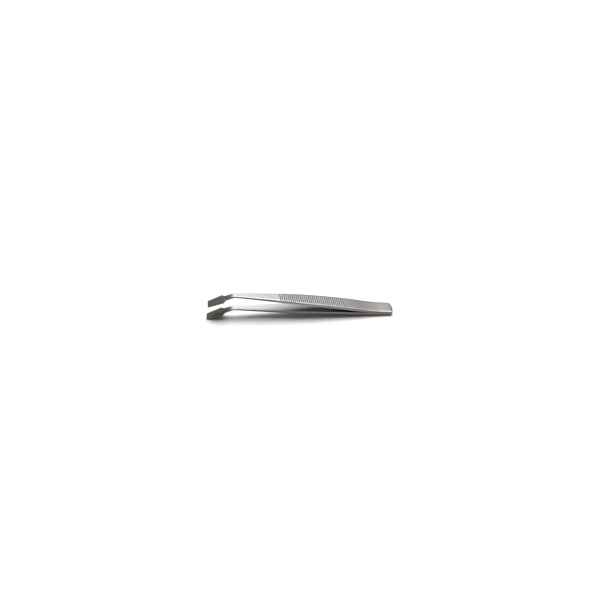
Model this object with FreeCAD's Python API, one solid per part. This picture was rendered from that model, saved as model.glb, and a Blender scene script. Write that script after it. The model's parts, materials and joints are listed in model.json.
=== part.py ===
import FreeCAD
import Part
import math
import os

# Tweezers with angled spade tips: two strips of spring steel, one above the other, spot
# welded at the tail. Each strip runs out from the weld, carries a grip panel of cross
# grooves on its outer face, narrows to a neck and ends in a flat spade-shaped pad. Both
# pads are bent the same way, downwards, so that they stay nearly parallel.
#
# Lengths are millimetres, angles degrees. "along" is the path length on a strip's inner
# face, from the tail end. The strips are drawn with the weld plane level, tail end at
# x = 0 and tips towards -X, and are then laid on a table: the object rests on the lower
# pad's bevel line and the lower tail's bevel line. +X points to the tail and +Z is up.

# Strips
ARM_LENGTH = 106.0
TAIL_THICKNESS = 1.3
STRIP_THICKNESS = 1.55
PAD_THICKNESS = 0.95
FULL_FROM = 22.0
THINNING_FROM = 60.4
BEND_START = 89.4
BEND_LENGTH = 3.0
PAD_DROP = 26.0

# Slope of each arm away from the weld plane, as (along, slope). It changes evenly from
# one entry to the next, so every stretch between two entries is a circular arc. The
# upper arm does most of its opening behind the grip, the lower arm most of it in front.
WELD_LENGTH = 7.9
ARM_SLOPES = {
    "upper": [(0.0, 0.0), (WELD_LENGTH, 0.0), (19.3, 5.3), (45.5, 2.3), (68.3, 1.6), (BEND_START, 0.5)],
    "lower": [(0.0, 0.0), (WELD_LENGTH, 0.0), (19.3, 1.1), (45.5, 3.1), (68.3, 3.7), (BEND_START, 3.4)],
}

# Plan outline of a strip: half widths, and the radius that rounds each corner
TAIL_BULGE = 1.0
TAIL_HALF_WIDTH = 4.75
GRIP_HALF_WIDTH = 5.1
SHANK_HALF_WIDTH = 4.7
NECK_HALF_WIDTH = 1.83
SHOULDER_HALF_WIDTH = 3.66
FRONT_HALF_WIDTH = 2.6
WIDEST_AT = 28.7
TAPER_FROM = 52.5
NECK_FROM = 88.4
NECK_TO = 95.6
SHOULDER_AT = 97.1
SIDE_RADIUS = 500.0
TAPER_RADIUS = 120.0
NECK_RADIUS = 1.6
SHOULDER_RADIUS = 0.5
TIP_RADIUS = 0.4

# The front edge is slanted: one front corner stands this much ahead and the other behind
TIP_SLANT = 0.25
LONGEST = ARM_LENGTH + TIP_SLANT

# The outer face is bevelled towards both ends of a strip, from a line straight across it
PAD_BEVEL_FROM = 105.4
PAD_BEVEL_ANGLE = 32.0
TAIL_BEVEL_FROM = 1.3
TAIL_BEVEL_ANGLE = 12.0

# Grip panel
GRIP_FROM = 26.0
GRIP_TO = 65.75
GROOVES = 34
GROOVE_WIDTH = 0.62
GROOVE_DEPTH = 0.22

# Welds: nuggets on the centre line, half their height in each strip
WELD_PLACES = (3.3, 5.9)
NUGGET_RADIUS = 1.1
NUGGET_HEIGHT = 0.5

# Place along each arm where its spring part ends and the blade that swings begins: a third
# of the way from the weld to the middle of the grip, about which a sprung strip appears to
# turn
HINGE_AT = WELD_LENGTH + ((GRIP_FROM + GRIP_TO) / 2 - WELD_LENGTH) / 3

# The shank and the pad are drawn apart and share the straight neck between these places
PAD_FROM = 92.7
SHANK_TO = 93.8

# How far the plan outline is drawn up and down from the weld plane
CUTTER_REACH = 20.0

SIDES = {"upper": 1, "lower": -1}


def closed_face(edges):
    return Part.Face(Part.Wire(Part.__sortEdges__(edges)))


def slopes(arm):
    """The arm's slopes as signed angles above the weld plane, with the bend and the pad added."""
    sprung = [(along, SIDES[arm] * slope) for along, slope in ARM_SLOPES[arm]]
    return sprung + [(BEND_START + BEND_LENGTH, -PAD_DROP), (LONGEST, -PAD_DROP)]


def inner_point(arm, along):
    """Point of the inner face at that path length, as (x, z, slope in radians)."""
    x = z = slope = 0.0
    stations = slopes(arm)
    for (start, first), (end, last) in zip(stations, stations[1:]):
        run = min(along, end) - start
        if run <= 0:
            break
        turn = math.radians(last - first) * run / (end - start)
        chord = run * math.sin(turn / 2) / (turn / 2) if turn else run
        middle = math.radians(first) + turn / 2
        slope = math.radians(first) + turn
        x -= chord * math.cos(middle)
        z += chord * math.sin(middle)
    return x, z, slope


def thickness(along):
    """Full strip over most of the grip, ground evenly thinner towards the weld and the neck."""
    if along < FULL_FROM:
        share = (FULL_FROM - along) / (FULL_FROM - WELD_LENGTH)
        return STRIP_THICKNESS + min(share, 1.0) * (TAIL_THICKNESS - STRIP_THICKNESS)
    share = (along - THINNING_FROM) / (BEND_START - THINNING_FROM)
    return STRIP_THICKNESS + min(max(share, 0.0), 1.0) * (PAD_THICKNESS - STRIP_THICKNESS)


def side_point(arm, along, depth):
    """Point of the side view, depth millimetres out from the inner face."""
    x, z, slope = inner_point(arm, along)
    reach = SIDES[arm] * depth
    return FreeCAD.Vector(x + reach * math.sin(slope), 0, z + reach * math.cos(slope))


def outer_point(arm, along, sunk=0.0):
    return side_point(arm, along, thickness(along) - sunk)


def stretch(point, start, end):
    """Edge of a face from one path length to another: an arc, or a line where it is straight."""
    first, middle, last = point(start), point((start + end) / 2), point(end)
    if middle.distanceToLine(first, last - first) < 1e-5:
        return Part.LineSegment(first, last).toShape()
    return Part.Arc(first, middle, last).toShape()


def smooth_face(arm, point, start, end):
    """Edges of a smooth face between two path lengths, broken where its curve changes."""
    breaks = [along for along, _ in slopes(arm)] + [FULL_FROM, THINNING_FROM]
    places = [start] + sorted(b for b in set(breaks) if start < b < end) + [end]
    return [stretch(point, a, b) for a, b in zip(places, places[1:])]


def grip_face(arm):
    """Outline of the grip panel: V grooves with flat lands between them."""
    pitch = (GRIP_TO - GRIP_FROM) / GROOVES
    land = (pitch - GROOVE_WIDTH) / 2
    points = [outer_point(arm, GRIP_FROM)]
    for number in range(GROOVES):
        start = GRIP_FROM + number * pitch + land
        points.append(outer_point(arm, start))
        points.append(outer_point(arm, start + GROOVE_WIDTH / 2, GROOVE_DEPTH))
        points.append(outer_point(arm, start + GROOVE_WIDTH))
    points.append(outer_point(arm, GRIP_TO))
    return [Part.LineSegment(a, b).toShape() for a, b in zip(points, points[1:])]


def side_slab(arm, start, end, grooved):
    """Side view of the arm between two path lengths, drawn out past both edges of the strip."""
    def inner(along):
        return side_point(arm, along, 0.0)

    def outer(along):
        return outer_point(arm, along)

    edges = smooth_face(arm, inner, start, end)
    if grooved:
        edges += smooth_face(arm, outer, start, GRIP_FROM)
        edges += grip_face(arm)
        edges += smooth_face(arm, outer, GRIP_TO, end)
    else:
        edges += smooth_face(arm, outer, start, end)
    edges.append(Part.LineSegment(inner(start), outer(start)).toShape())
    edges.append(Part.LineSegment(inner(end), outer(end)).toShape())
    face = closed_face(edges)
    half_width = GRIP_HALF_WIDTH + 1
    face.translate(FreeCAD.Vector(0, -half_width, 0))
    return face.extrude(FreeCAD.Vector(0, 2 * half_width, 0))


def rounded_edges(corners):
    """Edges along a chain of (x, y, radius) corners, each inner corner rounded by a tangent arc."""
    points = [FreeCAD.Vector(x, y, 0) for x, y, _ in corners]
    edges = []
    here = points[0]
    for before, corner, after, (_, _, radius) in zip(points, points[1:], points[2:], corners[1:]):
        back = (before - corner).normalize()
        ahead = (after - corner).normalize()
        half_angle = back.getAngle(ahead) / 2
        setback = radius / math.tan(half_angle)
        arc_start = corner + back * setback
        arc_end = corner + ahead * setback
        inwards = (back + ahead).normalize()
        arc_middle = corner + inwards * (radius / math.sin(half_angle) - radius)
        edges.append(Part.LineSegment(here, arc_start).toShape())
        edges.append(Part.Arc(arc_start, arc_middle, arc_end).toShape())
        here = arc_end
    edges.append(Part.LineSegment(here, points[-1]).toShape())
    return edges


def plan_prism(arm):
    """Plan outline of tail, grip and shank, drawn through the strip's whole height."""
    def corner(along, half_width, radius):
        return inner_point(arm, along)[0], half_width, radius

    edge = [
        corner(TAIL_BULGE, TAIL_HALF_WIDTH, 0),
        corner(WIDEST_AT, GRIP_HALF_WIDTH, SIDE_RADIUS),
        corner(TAPER_FROM, SHANK_HALF_WIDTH, TAPER_RADIUS),
        corner(NECK_FROM, NECK_HALF_WIDTH, TAPER_RADIUS / 2),
        corner(SHANK_TO, NECK_HALF_WIDTH, 0),
    ]
    mirrored = [(x, -y, radius) for x, y, radius in edge]
    tail_x, neck_x = edge[0][0], edge[-1][0]
    tail_arc = Part.Arc(
        FreeCAD.Vector(tail_x, -TAIL_HALF_WIDTH, 0),
        FreeCAD.Vector(0, 0, 0),
        FreeCAD.Vector(tail_x, TAIL_HALF_WIDTH, 0),
    )
    neck_line = Part.LineSegment(
        FreeCAD.Vector(neck_x, -NECK_HALF_WIDTH, 0),
        FreeCAD.Vector(neck_x, NECK_HALF_WIDTH, 0),
    )
    edges = rounded_edges(edge) + rounded_edges(mirrored)
    face = closed_face(edges + [tail_arc.toShape(), neck_line.toShape()])
    face.translate(FreeCAD.Vector(0, 0, -CUTTER_REACH))
    return face.extrude(FreeCAD.Vector(0, 0, 2 * CUTTER_REACH))


def bevel_cutter(arm, line, towards, thick, angle):
    """Wedge that bevels the outer face of a level strip from x = line on, towards +X or -X."""
    rise = math.tan(math.radians(angle))
    corners = [(-1, rise), (2, rise), (2, -2 * rise), (-1, rise)]
    wedge = Part.Face(Part.makePolygon([
        FreeCAD.Vector(line + towards * ahead, -GRIP_HALF_WIDTH, SIDES[arm] * (thick + out))
        for ahead, out in corners
    ]))
    return wedge.extrude(FreeCAD.Vector(0, 2 * GRIP_HALF_WIDTH, 0))


def pad_slab(arm):
    """The flat spade in front of the neck, with a slightly slanted, bevelled front edge."""
    def side(half_width_sign):
        slant = half_width_sign * TIP_SLANT
        return [
            (0, half_width_sign * NECK_HALF_WIDTH, 0),
            (PAD_FROM - NECK_TO, half_width_sign * NECK_HALF_WIDTH, NECK_RADIUS),
            (PAD_FROM - SHOULDER_AT, half_width_sign * SHOULDER_HALF_WIDTH, SHOULDER_RADIUS),
            (PAD_FROM - ARM_LENGTH + slant, half_width_sign * FRONT_HALF_WIDTH, TIP_RADIUS),
        ]

    outline = side(1) + side(-1)[::-1]
    neck_line = Part.LineSegment(
        FreeCAD.Vector(0, -NECK_HALF_WIDTH, 0), FreeCAD.Vector(0, NECK_HALF_WIDTH, 0)
    )
    face = closed_face(rounded_edges(outline) + [neck_line.toShape()])
    slab = face.extrude(FreeCAD.Vector(0, 0, SIDES[arm] * PAD_THICKNESS))
    slab = slab.cut(bevel_cutter(arm, PAD_FROM - PAD_BEVEL_FROM, -1, PAD_THICKNESS, PAD_BEVEL_ANGLE))
    x, z, slope = inner_point(arm, PAD_FROM)
    slab.rotate(FreeCAD.Vector(0, 0, 0), FreeCAD.Vector(0, 1, 0), math.degrees(slope))
    slab.translate(FreeCAD.Vector(x, 0, z))
    return slab


def weld_nuggets():
    """Round nuggets that join the two strips across the weld plane."""
    base = [FreeCAD.Vector(-along, 0, -NUGGET_HEIGHT / 2) for along in WELD_PLACES]
    return [Part.makeCylinder(NUGGET_RADIUS, NUGGET_HEIGHT, place) for place in base]


def arm_tail(arm):
    """The welded and springing rear of an arm, with a pocket for each weld nugget."""
    solid = side_slab(arm, 0.0, HINGE_AT, grooved=False).common(plan_prism(arm))
    solid = solid.cut(bevel_cutter(arm, -TAIL_BEVEL_FROM, 1, TAIL_THICKNESS, TAIL_BEVEL_ANGLE))
    for nugget in weld_nuggets():
        solid = solid.cut(nugget)
    return solid


def arm_blade(arm):
    """The swinging part of an arm: end of the spring, grip, shank, neck and pad."""
    shank = side_slab(arm, HINGE_AT, SHANK_TO, grooved=True).common(plan_prism(arm))
    return shank.fuse(pad_slab(arm)).removeSplitter()


def rest_tilt():
    """Angle that brings the lower arm's two bevel lines to one level."""
    run = outer_point("lower", TAIL_BEVEL_FROM) - outer_point("lower", PAD_BEVEL_FROM)
    return math.degrees(math.atan2(run.z, run.x))


def lay_down(shape):
    """Turns a shape from the weld plane's frame to the resting one, tail end at x = 0."""
    turned = shape.copy()
    turned.rotate(FreeCAD.Vector(0, 0, 0), FreeCAD.Vector(0, 1, 0), rest_tilt())
    return turned


def build():
    """All nodes by name, laid on z = 0 and centred on x = 0."""
    nodes = {"tail_spot_welds": Part.makeCompound(weld_nuggets())}
    for arm in SIDES:
        nodes[arm + "_arm_tail"] = arm_tail(arm)
        nodes[arm + "_arm_blade"] = arm_blade(arm)
    nodes = {name: lay_down(shape) for name, shape in nodes.items()}
    box = Part.makeCompound(list(nodes.values())).optimalBoundingBox()
    shift = FreeCAD.Vector(-(box.XMin + box.XMax) / 2, 0, -box.ZMin)
    for shape in nodes.values():
        shape.translate(shift)
    return nodes, shift


def main():
    os.makedirs("parts", exist_ok=True)
    nodes, _ = build()
    for name, shape in nodes.items():
        shape.exportStep("parts/" + name + ".step")
        print(name, "solids", len(shape.Solids), "volume mm3", round(shape.Volume, 1), shape.isValid())


main()
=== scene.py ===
import json
import math

import bmesh
import bpy
from mathutils import Matrix, Vector


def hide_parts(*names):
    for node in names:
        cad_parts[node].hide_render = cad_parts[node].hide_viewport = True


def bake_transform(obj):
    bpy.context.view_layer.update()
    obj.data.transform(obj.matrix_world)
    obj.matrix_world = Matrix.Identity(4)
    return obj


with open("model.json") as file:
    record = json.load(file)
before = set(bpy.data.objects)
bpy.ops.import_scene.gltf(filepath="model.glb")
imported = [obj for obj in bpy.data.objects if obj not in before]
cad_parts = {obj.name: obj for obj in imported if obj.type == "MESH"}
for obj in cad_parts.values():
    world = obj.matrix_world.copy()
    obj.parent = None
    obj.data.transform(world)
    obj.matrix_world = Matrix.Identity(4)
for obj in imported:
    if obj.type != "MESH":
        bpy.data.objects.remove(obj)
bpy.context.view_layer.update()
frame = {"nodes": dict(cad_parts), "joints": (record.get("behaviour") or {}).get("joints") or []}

# Each arm of the tweezers is one strip of spring steel. The CAD holds it as a tail node and a
# blade node, because the blade swings. Here it is one continuous mesh again, lofted from the
# same dimensions, which bends where the strip bends.
#
# Lengths are millimetres until a point is placed, and angles are degrees. "along" is the path
# length on a strip's inner face from the tail end, "across" is Y, and "depth" is the distance
# out from the inner face.
MM = 0.001

# Strips, as in the CAD. The slopes are those of the inner face above the weld plane.
ARM_LENGTH = 106.0
TAIL_THICKNESS = 1.3
STRIP_THICKNESS = 1.55
PAD_THICKNESS = 0.95
FULL_FROM = 22.0
THINNING_FROM = 60.4
BEND_START = 89.4
BEND_LENGTH = 3.0
PAD_DROP = 26.0
WELD_LENGTH = 7.9
ARM_SLOPES = {
    "upper": [
        (0.0, 0.0), (WELD_LENGTH, 0.0),
        (19.3, 5.3), (45.5, 2.3), (68.3, 1.6), (BEND_START, 0.5),
    ],
    "lower": [
        (0.0, 0.0), (WELD_LENGTH, 0.0),
        (19.3, 1.1), (45.5, 3.1), (68.3, 3.7), (BEND_START, 3.4),
    ],
}
SIDES = {"upper": 1, "lower": -1}

# Plan outline: half widths, the places where they hold, and the radii of the corners
TAIL_BULGE = 1.0
TAIL_HALF_WIDTH = 4.75
GRIP_HALF_WIDTH = 5.1
SHANK_HALF_WIDTH = 4.7
NECK_HALF_WIDTH = 1.83
SHOULDER_HALF_WIDTH = 3.66
FRONT_HALF_WIDTH = 2.6
WIDEST_AT = 28.7
TAPER_FROM = 52.5
NECK_FROM = 88.4
NECK_TO = 95.6
SHOULDER_AT = 97.1
SIDE_RADIUS = 500.0
TAPER_RADIUS = 120.0
NECK_RADIUS = 1.6
SHOULDER_RADIUS = 0.5
TIP_RADIUS = 0.4
TIP_SLANT = 0.25

# Bevels of the outer face at both ends
PAD_BEVEL_FROM = 105.4
PAD_BEVEL_ANGLE = 32.0
TAIL_BEVEL_FROM = 1.3
TAIL_BEVEL_ANGLE = 12.0

# Grip panel
GRIP_FROM = 26.0
GRIP_TO = 65.75
GROOVES = 34
GROOVE_PITCH = (GRIP_TO - GRIP_FROM) / GROOVES
GROOVE_WIDTH = 0.62
GROOVE_DEPTH = 0.22

# Place about which a sprung strip appears to turn, a third of the way from the weld to the middle
# of the grip, and a reach either side of it, which only places two points that nothing uses
HINGE_AT = WELD_LENGTH + ((GRIP_FROM + GRIP_TO) / 2 - WELD_LENGTH) / 3
FLEX_REACH = HINGE_AT - WELD_LENGTH

# Finish of the faces and edges, which the CAD leaves flat and sharp: edge radii, the share of
# the half width that the outer face's soft shoulders take and their slope at the long edges,
# the easing of the grooves, and the hair's breadth that each inner face keeps from its plane
OUTER_EDGE_RADIUS = 0.16
PAD_EDGE_RADIUS = 0.14
INNER_EDGE_RADIUS = 0.08
END_EDGE_RADIUS = 0.25
FRONT_EDGE_RADIUS = 0.10
SOFT_SHARE = 0.28
SOFT_ANGLE = 12.0
GROOVE_ROUNDING = 0.03
LAND_ROUNDING = 0.02
SEAM = 0.006

# Rows of mesh across a strip: their spacing, and the steps of each rounding
TAIL_ROW_STEP = 0.2
PLAIN_ROW_STEP = 0.8
ROWS_PER_GROOVE = 12
BEND_ROW_STEP = 0.2
SHOULDER_ROW_STEP = 0.08
SHOULDER_ROWS_REACH = 1.0
PAD_ROW_STEP = 0.4
TAIL_END_STEPS = 5
FRONT_CORNERS_FROM = PAD_BEVEL_FROM - 0.2
FRONT_CORNERS_STEPS = 5
PLAN_CORNER_STEPS = 6

# Columns of mesh round a section: shares of the flat width, and steps of the edge roundings
FACE_HALF_STEPS = 8
FACE_SHARES = [
    math.sin(math.pi / 2 * i / FACE_HALF_STEPS)
    for i in range(-FACE_HALF_STEPS, FACE_HALF_STEPS + 1)
]
OUTER_STEPS = 4
INNER_STEPS = 2


# ---- Side view of a strip ----

def slopes(arm):
    """The arm's slopes above the weld plane, with the bend and the pad added."""
    sprung = [(along, SIDES[arm] * slope) for along, slope in ARM_SLOPES[arm]]
    bend_end = BEND_START + BEND_LENGTH
    return sprung + [(bend_end, -PAD_DROP), (ARM_LENGTH + 1, -PAD_DROP)]


def inner_point(arm, along):
    """Point of the inner face at that path length, as (x, z, slope in radians)."""
    x = z = slope = 0.0
    stations = slopes(arm)
    for (start, first), (end, last) in zip(stations, stations[1:]):
        run = min(along, end) - start
        if run <= 0:
            break
        turn = math.radians(last - first) * run / (end - start)
        chord = run * math.sin(turn / 2) / (turn / 2) if turn else run
        middle = math.radians(first) + turn / 2
        slope = math.radians(first) + turn
        x -= chord * math.cos(middle)
        z += chord * math.sin(middle)
    return x, z, slope


def thickness(along):
    """Full strip over most of the grip, ground evenly thinner towards the weld and the neck."""
    if along < FULL_FROM:
        share = (FULL_FROM - along) / (FULL_FROM - WELD_LENGTH)
        return STRIP_THICKNESS + min(share, 1.0) * (TAIL_THICKNESS - STRIP_THICKNESS)
    share = (along - THINNING_FROM) / (BEND_START - THINNING_FROM)
    return STRIP_THICKNESS + min(max(share, 0.0), 1.0) * (PAD_THICKNESS - STRIP_THICKNESS)


def side_point(arm, along, depth):
    """Point of a strip's middle line at that depth, before the tweezers lie on the table."""
    x, z, slope = inner_point(arm, along)
    reach = SIDES[arm] * depth
    return Vector((x + reach * math.sin(slope), 0.0, z + reach * math.cos(slope)))


def rest_turn():
    """Turn that lays the strips from the level weld plane on to the table."""
    tail = side_point("lower", TAIL_BEVEL_FROM, thickness(TAIL_BEVEL_FROM))
    pad = side_point("lower", PAD_BEVEL_FROM, thickness(PAD_BEVEL_FROM))
    tilt = math.atan2(tail.z - pad.z, tail.x - pad.x)
    return Matrix.Rotation(tilt, 3, "Y")


REST_TURN = rest_turn()
HINGES = {joint["child"]: Vector(joint["pos_m"]) for joint in frame["joints"]}


def placer(arm):
    """Function from (along, across, depth) to the row frame in metres, set by the arm's joint."""
    shift = HINGES[arm + "_arm"] - REST_TURN @ side_point(arm, HINGE_AT, 0.0) * MM

    def place(along, across, depth):
        point = side_point(arm, along, depth)
        point.y = across
        return REST_TURN @ point * MM + shift

    return place


# ---- Plan view of a strip ----

def rounded_path(corners):
    """Points along a chain of (along, across, radius) corners, the inner ones rounded."""
    points = [Vector((along, across)) for along, across, _ in corners]
    path = [points[0]]
    for before, corner, after, (_, _, radius) in zip(points, points[1:], points[2:], corners[1:]):
        back = (before - corner).normalized()
        ahead = (after - corner).normalized()
        half_angle = back.angle(ahead) / 2
        centre = corner + (back + ahead).normalized() * radius / math.sin(half_angle)
        start = corner + back * radius / math.tan(half_angle) - centre
        end = corner + ahead * radius / math.tan(half_angle) - centre
        sweep = start.angle_signed(end)
        for step in range(PLAN_CORNER_STEPS + 1):
            turn = Matrix.Rotation(-sweep * step / PLAN_CORNER_STEPS, 2)
            path.append(centre + turn @ start)
    path.append(points[-1])
    return path


def side_outline(sign):
    """One long edge in plan, from the tail corner to the middle of the front edge."""
    front = ARM_LENGTH - sign * TIP_SLANT
    return rounded_path([
        (TAIL_BULGE, TAIL_HALF_WIDTH, 0.0),
        (WIDEST_AT, GRIP_HALF_WIDTH, SIDE_RADIUS),
        (TAPER_FROM, SHANK_HALF_WIDTH, TAPER_RADIUS),
        (NECK_FROM, NECK_HALF_WIDTH, TAPER_RADIUS / 2),
        (NECK_TO, NECK_HALF_WIDTH, NECK_RADIUS),
        (SHOULDER_AT, SHOULDER_HALF_WIDTH, SHOULDER_RADIUS),
        (front, FRONT_HALF_WIDTH, TIP_RADIUS),
        (ARM_LENGTH, 0.0, 0.0),
    ])


def half_width(outline, along):
    """Distance of one long edge from the middle line at that place."""
    for a, b in zip(outline, outline[1:]):
        if a.x <= along <= b.x:
            return a.y + (b.y - a.y) * (along - a.x) / max(b.x - a.x, 1e-9)
    return outline[0].y


def tail_bow(across):
    """How far the tail's arc stands out behind its two corners."""
    radius = (TAIL_HALF_WIDTH ** 2 + TAIL_BULGE ** 2) / (2 * TAIL_BULGE)
    return TAIL_BULGE - radius + math.sqrt(radius ** 2 - min(abs(across), TAIL_HALF_WIDTH) ** 2)


def spaced(start, end, step):
    """Evenly spaced places from start up to, not including, end."""
    count = max(1, round((end - start) / step))
    return [start + (end - start) * i / count for i in range(count)]


def strip_rows():
    """Rows across the strip from tail to front: (near end, far end, bow, pulled in).

    The ends are (along, across) points. Bow is the share of the tail's arc that the row has,
    and pulled in is how far the end faces' edge rounding takes the faces in there.
    """
    near_side, far_side = side_outline(-1), side_outline(1)
    rows = []

    def straight(along, bow=0.0, inset=0.0, pulled=0.0):
        near = (along, -half_width(near_side, along) + inset)
        far = (along, half_width(far_side, along) - inset)
        rows.append((near, far, bow, pulled))

    def turned(near, far, pulled=0.0):
        rows.append(((near.x, -near.y), (far.x, far.y), 0.0, pulled))

    # The tail's rounded end, then the weld, over which the tail's arc dies away
    for step in range(TAIL_END_STEPS):
        angle = math.pi / 2 * step / TAIL_END_STEPS
        ease = END_EDGE_RADIUS * (1 - math.sin(angle))
        straight(TAIL_BULGE + END_EDGE_RADIUS * (1 - math.cos(angle)), 1.0, ease, ease)
    weld_from = TAIL_BULGE + END_EDGE_RADIUS
    for along in spaced(weld_from, WELD_LENGTH, TAIL_ROW_STEP):
        straight(along, ((WELD_LENGTH - along) / (WELD_LENGTH - weld_from)) ** 2)

    shoulder_from = NECK_TO - SHOULDER_ROWS_REACH
    shoulder_to = SHOULDER_AT + SHOULDER_ROWS_REACH
    for start, end, step in (
        (WELD_LENGTH, GRIP_FROM, PLAIN_ROW_STEP),
        (GRIP_FROM, GRIP_TO, GROOVE_PITCH / ROWS_PER_GROOVE),
        (GRIP_TO, BEND_START, PLAIN_ROW_STEP),
        (BEND_START, shoulder_from, BEND_ROW_STEP),
        (shoulder_from, shoulder_to, SHOULDER_ROW_STEP),
        (shoulder_to, FRONT_CORNERS_FROM, PAD_ROW_STEP),
    ):
        for along in spaced(start, end, step):
            straight(along)

    # The last rows follow both front corners round, and so turn to the slant of the front edge
    near_start, far_start = (
        Vector((FRONT_CORNERS_FROM, half_width(side, FRONT_CORNERS_FROM)))
        for side in (near_side, far_side)
    )
    near_corner, far_corner = (
        side[-PLAN_CORNER_STEPS - 2:-1] for side in (near_side, far_side)
    )
    for step in range(FRONT_CORNERS_STEPS):
        share = step / FRONT_CORNERS_STEPS
        turned(near_start.lerp(near_corner[0], share), far_start.lerp(far_corner[0], share))
    for step, (near, far) in enumerate(zip(near_corner, far_corner)):
        angle = math.pi / 2 * step / PLAN_CORNER_STEPS
        turned(near, far, FRONT_EDGE_RADIUS * (1 - math.cos(angle)))
    return rows


# ---- Section of a strip ----

def groove(along):
    """How far the grip's cross grooves sink the outer face: V grooves with eased edges."""
    if not GRIP_FROM <= along <= GRIP_TO:
        return 0.0
    offset = (along - GRIP_FROM) % GROOVE_PITCH - GROOVE_PITCH / 2
    eased = math.hypot(offset, GROOVE_ROUNDING)
    sunk = GROOVE_DEPTH * (1 - eased / (GROOVE_WIDTH / 2))
    return (sunk + math.hypot(sunk, LAND_ROUNDING)) / 2


def end_bevels(along):
    """How far the bevels at the two ends sink the outer face."""
    front = max(along - PAD_BEVEL_FROM, 0.0) * math.tan(math.radians(PAD_BEVEL_ANGLE))
    tail = max(TAIL_BEVEL_FROM - along, 0.0) * math.tan(math.radians(TAIL_BEVEL_ANGLE))
    return front + tail


def soft_fall(offset, half):
    """How far the outer face falls towards its long edges, in a soft shoulder."""
    width = SOFT_SHARE * half
    reach = max(abs(offset) - (half - width), 0.0)
    return math.tan(math.radians(SOFT_ANGLE)) * reach ** 2 / (2 * width)


def section(along_at, edges, thick, pulled):
    """One closed loop round the strip, as (along, across, depth, face) places.

    It runs over the outer face from the near edge to the far one, down the far side, back
    over the inner face and up the near side. edges is (near across, far across).
    """
    near, far = edges
    middle, half = (near + far) / 2, (far - near) / 2
    pad_share = min(max((along_at(middle) - BEND_START) / BEND_LENGTH, 0.0), 1.0)
    outer = OUTER_EDGE_RADIUS + (PAD_EDGE_RADIUS - OUTER_EDGE_RADIUS) * pad_share
    inner = INNER_EDGE_RADIUS
    loop = []

    def add(offset, depth, face):
        across = middle + offset
        along = along_at(across)
        fall = soft_fall(offset, half) * (1 - pad_share)
        top = thick - end_bevels(along) - groove(along) - pulled
        depth = min(depth - fall * depth / thick, top)
        loop.append((along, across, max(depth, SEAM + min(pulled, inner)), face))

    def side(sign):
        """The side's places from the outer face down: one rounding, a middle, the other."""
        turns = [math.pi / 2 * i / OUTER_STEPS for i in range(1, OUTER_STEPS + 1)]
        ring = [(outer * (1 - math.sin(a)), thick - outer * (1 - math.cos(a))) for a in turns]
        ring.append((0.0, (thick - outer + inner) / 2))
        turns = [math.pi / 2 * i / INNER_STEPS for i in range(INNER_STEPS)]
        ring += [(inner * (1 - math.cos(a)), inner * (1 - math.sin(a))) for a in turns]
        return [(sign * (half - inset), depth) for inset, depth in ring]

    for share in FACE_SHARES:
        add(share * (half - outer), thick, "outer")
    for offset, depth in side(1):
        add(offset, depth, "side")
    for share in reversed(FACE_SHARES):
        add(share * (half - inner), 0.0, "inner")
    for offset, depth in reversed(side(-1)):
        add(offset, depth, "side")
    return loop


# ---- Mesh of a strip ----

def close_end(mesh, ring):
    """End face: quads from the outer face to the inner one, and a face at each long edge."""
    columns = len(FACE_SHARES)
    edge = OUTER_STEPS + 1 + INNER_STEPS
    outer = ring[:columns]
    inner = ring[columns + edge:2 * columns + edge][::-1]
    for quad in zip(outer, outer[1:], inner[1:], inner):
        mesh.faces.new(quad)
    mesh.faces.new([outer[-1]] + ring[columns:columns + edge] + [inner[-1]])
    mesh.faces.new([inner[0]] + ring[2 * columns + edge:] + [outer[0]])


def build_arm(arm):
    """The whole strip as one closed mesh.

    Each point keeps its place on the strip, as strip_place (along, across, depth), and what it
    lies on, as strip_skin (side face, inner face, share of a groove's depth).
    """
    place = placer(arm)
    mesh = bmesh.new()
    strip_place = mesh.verts.layers.float_vector.new("strip_place")
    strip_skin = mesh.verts.layers.float_vector.new("strip_skin")
    rings = []
    for near, far, bow, pulled in strip_rows():
        def along_at(across, near=near, far=far, bow=bow):
            share = (across - near[1]) / (far[1] - near[1])
            return near[0] + (far[0] - near[0]) * share - bow * tail_bow(across)

        thick = thickness((near[0] + far[0]) / 2)
        ring = []
        for along, across, depth, face in section(along_at, (near[1], far[1]), thick, pulled):
            vert = mesh.verts.new(place(along, across, depth))
            vert[strip_place] = (along, across, depth)
            sunk = 0.0 if face == "inner" else groove(along) / GROOVE_DEPTH
            vert[strip_skin] = (face == "side", face == "inner", sunk)
            ring.append(vert)
        rings.append(ring)
    count = len(rings[0])
    for first, second in zip(rings, rings[1:]):
        for i in range(count):
            j = (i + 1) % count
            mesh.faces.new((first[i], first[j], second[j], second[i]))
    close_end(mesh, rings[0])
    close_end(mesh, rings[-1])
    bmesh.ops.recalc_face_normals(mesh, faces=mesh.faces)
    data = bpy.data.meshes.new(arm + "_arm_strip")
    mesh.to_mesh(data)
    mesh.free()
    data.shade_smooth()
    strip = bpy.data.objects.new(arm + "_arm_strip", data)
    bpy.context.scene.collection.objects.link(strip)
    return strip


# ---- Materials ----

# A Mix node's first input and its result, for numbers and for colours
MIX_SOCKETS = {"FLOAT": (2, 0), "RGBA": (6, 2)}


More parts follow.
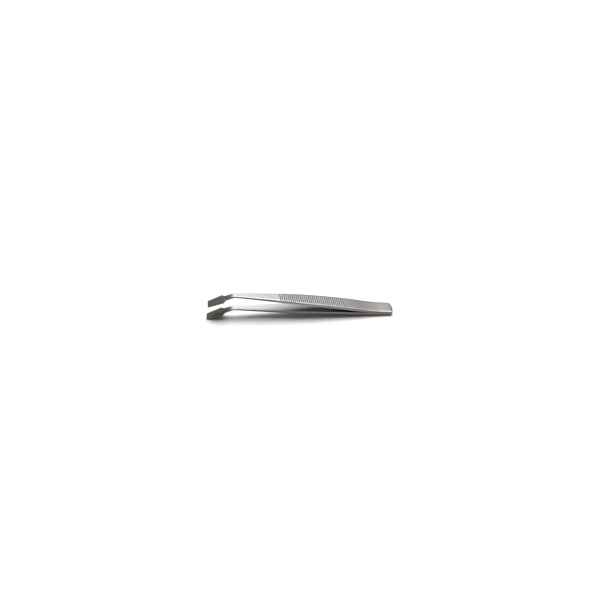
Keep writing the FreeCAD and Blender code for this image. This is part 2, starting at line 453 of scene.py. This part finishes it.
class Nodes:
    """Short calls for building one node tree."""

    def __init__(self, tree):
        self.tree = tree

    def add(self, kind, inputs=(), **settings):
        node = self.tree.nodes.new("ShaderNode" + kind)
        for name, value in settings.items():
            setattr(node, name, value)
        for name, value in dict(inputs).items():
            self.set(node.inputs[name], value)
        return node

    def set(self, socket, value):
        """Link a node's output to the socket, or give it a constant."""
        if isinstance(value, bpy.types.NodeSocket):
            self.tree.links.new(value, socket)
        else:
            socket.default_value = value

    def shade(self, inputs):
        """Give the material's own shader these inputs."""
        shader = self.tree.nodes["Principled BSDF"]
        for name, value in inputs.items():
            self.set(shader.inputs[name], value)

    def math(self, operation, a, b=0.0):
        node = self.add("Math", operation=operation)
        self.set(node.inputs[0], a)
        self.set(node.inputs[1], b)
        return node.outputs[0]

    def ramp(self, value, low, high, out_low=0.0, out_high=1.0):
        """Smooth change from out_low to out_high while the value goes from low to high."""
        node = self.add("MapRange", interpolation_type="SMOOTHSTEP")
        for name, part in (("Value", value), ("From Min", low), ("From Max", high),
                           ("To Min", out_low), ("To Max", out_high)):
            self.set(node.inputs[name], part)
        return node.outputs[0]

    def blend(self, factor, a, b, kind="RGBA"):
        """Mix of two colours, or of two numbers when the kind is FLOAT."""
        first, result = MIX_SOCKETS[kind]
        node = self.add("Mix", data_type=kind)
        self.set(node.inputs[0], factor)
        self.set(node.inputs[first], a)
        self.set(node.inputs[first + 1], b)
        return node.outputs[result]

    def noise(self, vector, stretch, detail):
        """Noise from 0 to 1 in that many cells per unit of length along each axis."""
        scaled = self.add("VectorMath", operation="MULTIPLY")
        self.set(scaled.inputs[0], vector)
        self.set(scaled.inputs[1], stretch)
        node = self.add("TexNoise", {"Vector": scaled.outputs[0], "Scale": 1.0, "Detail": detail})
        return node.outputs[0]


def new_material(name):
    """A new material, and the calls for building its nodes."""
    material = bpy.data.materials.new(name)
    material.use_nodes = True
    return material, Nodes(material.node_tree)


def grey(level, warmth=0.0):
    """Grey of that brightness, with a little more red and less blue for some warmth."""
    return (level * (1 + warmth), level, level * (1 - 0.5 * warmth), 1.0)


# Steel tones, some of them painted light and shade. A pair holds the dark and the light of a
# texture, or a side's painted shading beside the inner face and beside the outer one.
BRUSHED = grey(0.43, 0.030), grey(0.49, 0.034)
CLOUDED = grey(0.40, 0.036)
# The ground pad's tones are painted shade, far darker than the strip's steel
SHADED_GROUND_PAD = (0.160, 0.156, 0.135, 1.0), (0.200, 0.193, 0.169, 1.0)
# Painted highlight on the grip's ridges, and painted shade at the bottom of its grooves
LIT_RIDGES = grey(0.53, 0.034)
SHADED_GROOVE_BOTTOM = grey(0.09, 0.03)
# Painted shade on the inner faces, between the two arms
PAINTED_INNER_SHADE = grey(0.25, 0.05)
# Painted shade deep between the arms, next to the weld
PAINTED_WELD_SHADE = grey(0.05, 0.05)
# Lighter edges: wear, and a painted highlight along the edge roundings
WORN_AND_HIGHLIT = grey(0.50, 0.02)
# The sides' tones are painted shade, with a painted highlight on the upper arm's grip side beside
# its inner face
SHADED_TAIL_SIDE = grey(0.27, 0.03)
LIT_AND_SHADED_GRIP_SIDES = {
    "upper": (grey(0.56, 0.03), grey(0.19, 0.03)),
    "lower": (grey(0.30, 0.03), grey(0.30, 0.03)),
}
SHADED_FRONT_SIDE = grey(0.19, 0.03), grey(0.105, 0.03)

# Stretches along a strip over which one finish or one painted shading gives way to the next
GROUND_STARTS = 91.0, 93.8
RIDGES_START = 25.8, 26.6
RIDGES_END = 65.2, 66.0
WELD_SHADE_ENDS = 20.0, 36.0
INNER_SHADE_ENDS = 44.0, 80.0
GRIP_SIDE_STARTS = 8.0, 28.0
FRONT_SIDE_STARTS = 55.0, 75.0

# Depths between which a side's painted shading changes its tone
SIDE_SHADING_DEPTHS = 0.4, 1.2


def face_tone(n, along, pad, texture, clouds):
    """Brushed steel with faint clouds, and the dull ground pad, whose dark tone is painted shade.
    """
    brushed = n.blend(n.ramp(texture, 0.3, 0.7), *BRUSHED)
    brushed = n.blend(n.ramp(clouds, 0.35, 0.7, 0.0, 0.35), brushed, CLOUDED)
    return n.blend(pad, brushed, n.blend(n.ramp(texture, 0.3, 0.7), *SHADED_GROUND_PAD))


def grip_tone(n, tone, along, inner, sunk):
    """Painted highlight on the ridges and painted shade in the grooves of the outer face's grip
    panel.
    """
    ridged = n.math("MULTIPLY", n.ramp(along, *RIDGES_START), n.ramp(along, *RIDGES_END, 1.0, 0.0))
    ridged = n.math("MULTIPLY", ridged, n.math("SUBTRACT", 1.0, inner))
    tone = n.blend(ridged, tone, LIT_RIDGES)
    return n.blend(n.ramp(sunk, 0.0, 0.8), tone, SHADED_GROOVE_BOTTOM)


def inner_tone(n, tone, along, inner):
    """Inner face: painted shade between the two arms, fading out towards the tips and deepest near
    the weld.
    """
    # Painted shade between the arms, fading out towards the tips
    inner_shade = n.math("MULTIPLY", inner, n.ramp(along, *INNER_SHADE_ENDS, 1.0, 0.0))
    tone = n.blend(inner_shade, tone, PAINTED_INNER_SHADE)
    # Painted shade, deepening between the arms next to the weld
    scaled = n.math("MULTIPLY", inner, n.ramp(along, *WELD_SHADE_ENDS, 1.0, 0.0))
    return n.blend(scaled, tone, PAINTED_WELD_SHADE)


def side_tone(n, arm, along, depth):
    """Sides in painted light and shade, which change their tone between the inner face and the
    outer one, and differ between the arms.
    """
    side_shading = n.ramp(depth, *SIDE_SHADING_DEPTHS)
    grip_side = n.blend(side_shading, *LIT_AND_SHADED_GRIP_SIDES[arm])
    front_side = n.blend(side_shading, *SHADED_FRONT_SIDE)
    rear_side = n.blend(n.ramp(along, *GRIP_SIDE_STARTS), SHADED_TAIL_SIDE, grip_side)
    return n.blend(n.ramp(along, *FRONT_SIDE_STARTS), rear_side, front_side)


def strip_steel(arm):
    """Satin stainless steel: fine brushing along the strip, a matte ground pad, worn edges, with
    painted light and shade on the pad, grip, sides, inner faces and edges.
    """
    material, n = new_material(arm + "_arm_steel")
    place = n.add("Attribute", attribute_name="strip_place").outputs["Vector"]
    skin = n.add("Attribute", attribute_name="strip_skin").outputs["Vector"]
    along, _, depth = n.add("SeparateXYZ", {"Vector": place}).outputs
    side, inner, sunk = n.add("SeparateXYZ", {"Vector": skin}).outputs
    pad = n.ramp(along, *GROUND_STARTS)

    brushing = n.noise(place, (0.9, 26.0, 26.0), 4.0)
    grain = n.noise(place, (16.0, 16.0, 16.0), 3.0)
    clouds = n.noise(place, (0.12, 0.35, 0.35), 2.0)
    texture = n.blend(pad, brushing, grain, "FLOAT")

    tone = face_tone(n, along, pad, texture, clouds)
    tone = grip_tone(n, tone, along, inner, sunk)
    tone = inner_tone(n, tone, along, inner)
    tone = n.blend(side, tone, side_tone(n, arm, along, depth))
    # Convex edges are lighter: partly wear, partly a painted highlight
    pointiness = n.add("NewGeometry").outputs["Pointiness"]
    wear_and_highlight = n.ramp(pointiness, 0.52, 0.60, 0.0, 0.6)
    tone = n.blend(wear_and_highlight, tone, WORN_AND_HIGHLIT)

    rough = n.ramp(texture, 0.25, 0.75, 0.28, 0.37)
    rough = n.math("ADD", rough, n.math("MULTIPLY", pad, 0.05))
    rough = n.math("SUBTRACT", rough, n.math("MULTIPLY", wear_and_highlight, 0.08))
    bump = n.add("Bump", {"Strength": 0.25, "Distance": 0.00002, "Height": texture}).outputs[0]
    n.shade({"Metallic": 1.0, "Base Color": tone, "Roughness": rough, "Normal": bump})
    return material


def weld_steel():
    """Fused weld metal: greyer, cloudy and rougher than the strips."""
    material, n = new_material("weld_steel")
    place = n.add("TexCoord").outputs["Object"]
    cells = 1.2 / MM
    clouds = n.noise(place, (cells, cells, cells), 4.0)
    tone = n.blend(clouds, grey(0.34, 0.02), grey(0.52, 0.03))
    rough = n.ramp(clouds, 0.3, 0.7, 0.38, 0.6)
    bump = n.add("Bump", {"Strength": 0.3, "Distance": 0.00005, "Height": clouds}).outputs[0]
    n.shade({"Metallic": 1.0, "Base Color": tone, "Roughness": rough, "Normal": bump})
    return material


def floor_paint():
    """Pale paper, which throws less light back on the metal than its own paleness would."""
    material, n = new_material("floor_paint")
    seen = n.add("LightPath").outputs["Is Camera Ray"]
    tone = n.blend(seen, grey(0.42), grey(0.86))
    n.shade({"Base Color": tone, "Roughness": 0.9, "Specular IOR Level": 0.0})
    return material


# ---- Pieces ----

def make_arms():
    """Both strips, each as one mesh in its rest shape, in place of the CAD's tail and blade."""
    for arm in SIDES:
        strip = build_arm(arm)
        strip.data.materials.append(strip_steel(arm))
        weighted = strip.modifiers.new("even_shading", "WEIGHTED_NORMAL")
        weighted.keep_sharp = True
        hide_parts(arm + "_arm_tail", arm + "_arm_blade")
        place = placer(arm)
        start = place(HINGE_AT - FLEX_REACH, 0.0, 0.0)
        end = place(HINGE_AT + FLEX_REACH, 0.0, 0.0)
        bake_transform(strip)


def finish_welds():
    """The weld nuggets keep their CAD mesh and get their own material."""
    welds = frame["nodes"]["tail_spot_welds"]
    welds.data.materials.clear()
    welds.data.materials.append(weld_steel())


# ---- Studio, in metres ----

FLOOR_HALF_SIZE = 4.0
LAMP_DISTANCE = 2.0


def make_floor():
    """Square of pale paper under the object."""
    half = FLOOR_HALF_SIZE
    data = bpy.data.meshes.new("floor")
    corners = [(-half, -half, 0), (half, -half, 0), (half, half, 0), (-half, half, 0)]
    data.from_pydata(corners, [], [(0, 1, 2, 3)])
    data.materials.append(floor_paint())
    floor = bpy.data.objects.new("floor", data)
    bpy.context.scene.collection.objects.link(floor)


def direction(azimuth, elevation):
    """Unit vector, azimuth from +Y towards +X."""
    a, e = math.radians(azimuth), math.radians(elevation)
    return Vector((math.sin(a) * math.cos(e), math.cos(a) * math.cos(e), math.sin(e)))


def make_lamp(name, kind, azimuth, elevation, energy, **settings):
    """Lamp in that direction from the object, which it points at."""
    lamp = bpy.data.lights.new(name, kind)
    lamp.energy = energy
    for key, value in settings.items():
        setattr(lamp, key, value)
    place = bpy.data.objects.new(name, lamp)
    towards = direction(azimuth, elevation)
    place.location = towards * LAMP_DISTANCE
    place.rotation_euler = towards.to_track_quat("Z", "Y").to_euler()
    place.visible_camera = False
    bpy.context.scene.collection.objects.link(place)
    return place


def make_panel(name, azimuth, elevation, width, height, radiance, **settings):
    """Soft box of that angular size and that brightness, as seen from the object."""
    size = 2 * LAMP_DISTANCE * math.tan(math.radians(width / 2))
    size_y = 2 * LAMP_DISTANCE * math.tan(math.radians(height / 2))
    energy = radiance * math.pi * size * size_y
    settings.update(shape="RECTANGLE", size=size, size_y=size_y)
    return make_lamp(name, "AREA", azimuth, elevation, energy, **settings)


def make_world():
    """Dim surroundings, white to the camera."""
    world = bpy.data.worlds.new("studio")
    world.use_nodes = True
    n = Nodes(world.node_tree)
    seen = n.add("LightPath").outputs["Is Camera Ray"]
    background = n.tree.nodes["Background"]
    n.set(background.inputs["Color"], n.blend(seen, grey(0.18, 0.03), grey(1.0)))
    bpy.context.scene.world = world


def make_lights():
    """Soft key light from above, two panels behind that the steel mirrors, and one in front.

    The front panel lights the metal but not the floor, where it would fill the shadow.
    """
    make_lamp("key", "SUN", 0.0, 73.0, energy=3.7, angle=math.radians(50.0))
    make_panel("back_panel", 4.5, 39.0, width=21.0, height=24.0, radiance=1.78)
    warm = (1.12, 1.0, 0.98)
    make_panel("side_panel", 30.0, 39.0, width=22.0, height=24.0, radiance=0.49, color=warm)
    front = make_panel("front_panel", 170.0, 27.0, width=100.0, height=34.0, radiance=1.0)
    front.visible_diffuse = False
    make_world()
    bpy.context.scene.view_settings.view_transform = "Standard"


# ---- Camera ----

# It stands on the near side, above the object and a little towards the tips' end. It aims
# beside the middle of the object, by a shift along its own two cross axes.
CAMERA_ELEVATION = 33.195
CAMERA_SWING = 10.247
CAMERA_ROLL = 3.828
CAMERA_DISTANCE = 594.0
CAMERA_AIM = Vector((-0.465, 0.0, 2.97))
CAMERA_SHIFT = 0.17, 5.33
LENS = 63.8
SENSOR_WIDTH = 36.0


def make_camera():
    """The scene's camera, turned by its swing and elevation and then rolled."""
    swing = math.radians(CAMERA_SWING)
    roll = math.radians(CAMERA_ROLL)
    forward = direction(CAMERA_SWING, -CAMERA_ELEVATION)
    right = Vector((math.cos(swing), -math.sin(swing), 0.0))
    up = right.cross(forward)
    axis_x = right * math.cos(roll) + up * math.sin(roll)
    axis_y = -right * math.sin(roll) + up * math.cos(roll)
    aim = CAMERA_AIM + axis_x * CAMERA_SHIFT[0] + axis_y * CAMERA_SHIFT[1]
    data = bpy.data.cameras.new("camera")
    data.lens = LENS
    data.sensor_width = SENSOR_WIDTH
    camera = bpy.data.objects.new("camera", data)
    turn = Matrix((axis_x, axis_y, -forward)).transposed()
    place = (aim - forward * CAMERA_DISTANCE) * MM
    camera.matrix_world = Matrix.Translation(place) @ turn.to_4x4()
    bpy.context.scene.collection.objects.link(camera)
    bpy.context.scene.camera = camera


make_arms()
finish_welds()
make_floor()
make_lights()
make_camera()
